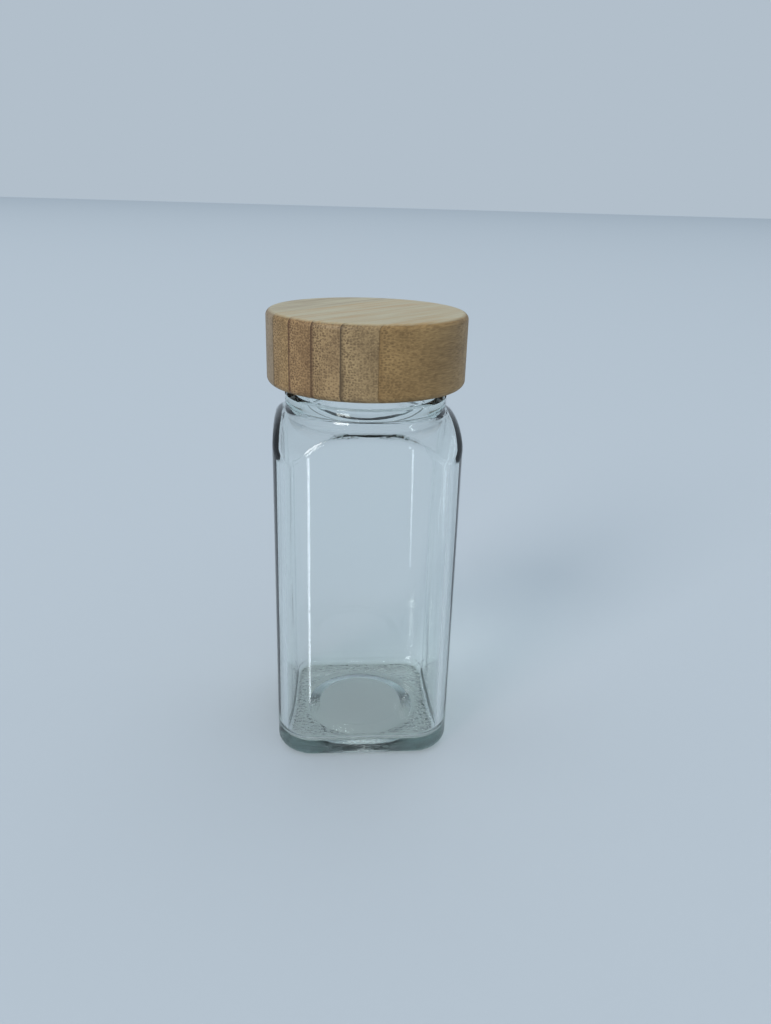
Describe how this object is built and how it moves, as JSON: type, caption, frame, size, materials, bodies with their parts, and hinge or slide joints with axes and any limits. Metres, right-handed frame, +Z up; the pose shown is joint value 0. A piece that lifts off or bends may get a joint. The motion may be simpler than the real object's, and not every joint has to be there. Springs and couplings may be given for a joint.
{
  "type": "spice jar",
  "caption": "Square clear glass spice jar with rounded corners, a domed shoulder and a round screw lid turned from bamboo strips over a plastic cap and sifter.",
  "frame": {"origin": "on the jar's axis, on the plane that the jar stands on", "axes": "+Z up along the jar's axis; the four flat sides face along X and Y, and the picture's front side faces -Y"},
  "size_m": [0.048, 0.048, 0.1114],
  "materials": {
    "clear_glass": "polished, clear with a faint blue-green tint",
    "bamboo": "sanded laminated bamboo under a thin satin oil",
    "cap_plastic": "satin moulded",
    "sifter_plastic": "satin moulded, milky",
    "liner_foam": "fine closed-cell foam"
  },
  "bodies": {
    "jar": {"glass_jar": "clear_glass", "shaker_insert": "sifter_plastic"},
    "liner": {"cap_liner": "liner_foam"},
    "lid": {"threaded_cap": "cap_plastic", "bamboo_strip_1": "bamboo", "bamboo_strip_2": "bamboo", "bamboo_strip_3": "bamboo", "bamboo_strip_4": "bamboo", "bamboo_strip_5": "bamboo", "bamboo_strip_6": "bamboo", "bamboo_strip_7": "bamboo"}
  },
  "joints": [
    {"name": "lid_rise", "type": "slide", "parent": "jar", "child": "liner", "axis": [0, 0, 1], "range_m": [0, 0.017]},
    {"name": "lid_turn", "type": "hinge", "parent": "liner", "child": "lid", "pos_m": [0, 0, 0.0982], "axis": [0, 0, 1], "range_deg": [0, 1440]}
  ],
  "couplings": [
    {"joint": "lid_rise", "follows": "lid_turn", "m_per_rad": 0.00067322}
  ]
}
